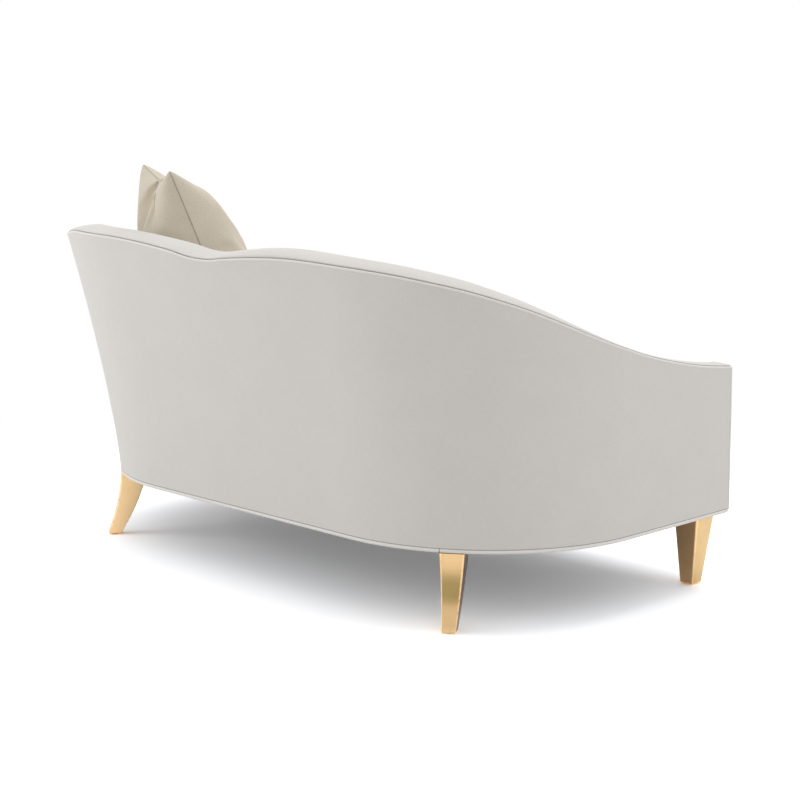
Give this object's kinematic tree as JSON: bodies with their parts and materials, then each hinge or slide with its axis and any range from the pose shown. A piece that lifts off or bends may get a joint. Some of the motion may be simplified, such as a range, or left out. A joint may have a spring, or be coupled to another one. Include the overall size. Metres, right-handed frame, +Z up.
{
  "type": "recamier",
  "caption": "Upholstered recamier: a low arm sweeps round the back to a tall head end, with a loose bench cushion, a throw pillow and gilded legs.",
  "frame": {"origin": "on the floor, at the middle of the part's bounding box in plan", "axes": "+X along the seat to the tall head end, -Y out of the open front, +Z up"},
  "size_m": [1.9324, 1.0814, 1.0993],
  "materials": {
    "body_fabric": "matte",
    "pillow_fabric": "matte",
    "gilded_wood": "satin",
    "frame_wood": "matte",
    "steel": "satin",
    "glide_nylon": "matte",
    "cambric": "matte"
  },
  "bodies": {
    "frame": {"outside_cover": "body_fabric", "inside_upholstery": "body_fabric", "top_welt": "body_fabric", "bottom_welt": "body_fabric", "foot_arm_front_panel": "body_fabric", "head_arm_front_panel": "body_fabric", "foot_arm_front_welt": "body_fabric", "head_arm_front_welt": "body_fabric", "front_border": "body_fabric", "seat_deck": "body_fabric", "dust_cover": "cambric", "foot_side_rail": "frame_wood", "foot_corner_rail": "frame_wood", "back_rail": "frame_wood", "head_corner_rail": "frame_wood", "head_side_rail": "frame_wood", "front_rail": "frame_wood", "foot_arm_post": "frame_wood", "foot_corner_rib": "frame_wood", "back_rib_foot_end": "frame_wood", "back_rib_middle": "frame_wood", "back_rib_head_end": "frame_wood", "head_corner_rib": "frame_wood", "head_arm_post": "frame_wood", "foot_end_top_rail": "frame_wood", "back_top_rail": "frame_wood", "head_end_top_rail": "frame_wood", "seat_spring_1": "steel", "seat_spring_2": "steel", "seat_spring_3": "steel", "seat_spring_4": "steel", "seat_spring_5": "steel", "seat_spring_6": "steel", "seat_spring_7": "steel", "seat_spring_8": "steel", "leg_front_foot_end": "gilded_wood", "leg_front_head_end": "gilded_wood", "leg_rear_foot_end": "gilded_wood", "leg_rear_head_end": "gilded_wood", "leg_glide_front_foot_end": "glide_nylon", "leg_glide_front_head_end": "glide_nylon", "leg_glide_rear_foot_end": "glide_nylon", "leg_glide_rear_head_end": "glide_nylon", "corner_block_front_foot_end": "frame_wood", "corner_block_front_head_end": "frame_wood", "corner_block_rear_foot_end": "frame_wood", "corner_block_rear_head_end": "frame_wood", "hanger_bolt_front_foot_end": "steel", "hanger_bolt_front_head_end": "steel", "hanger_bolt_rear_foot_end": "steel", "hanger_bolt_rear_head_end": "steel", "bolt_nut_front_foot_end": "steel", "bolt_nut_front_head_end": "steel", "bolt_nut_rear_foot_end": "steel", "bolt_nut_rear_head_end": "steel"},
    "bench_cushion": {"seat_cushion": "body_fabric", "cushion_top_welt": "body_fabric", "cushion_bottom_welt": "body_fabric"},
    "pillow": {"throw_pillow": "pillow_fabric"}
  },
  "joints": [
    {"name": "cushion_lift", "type": "slide", "parent": "frame", "child": "bench_cushion", "axis": [0, 0, 1], "range_m": [0, 0.3]},
    {"name": "pillow_lift", "type": "slide", "parent": "bench_cushion", "child": "pillow", "axis": [0, 0, 1], "range_m": [0, 0.3]}
  ]
}
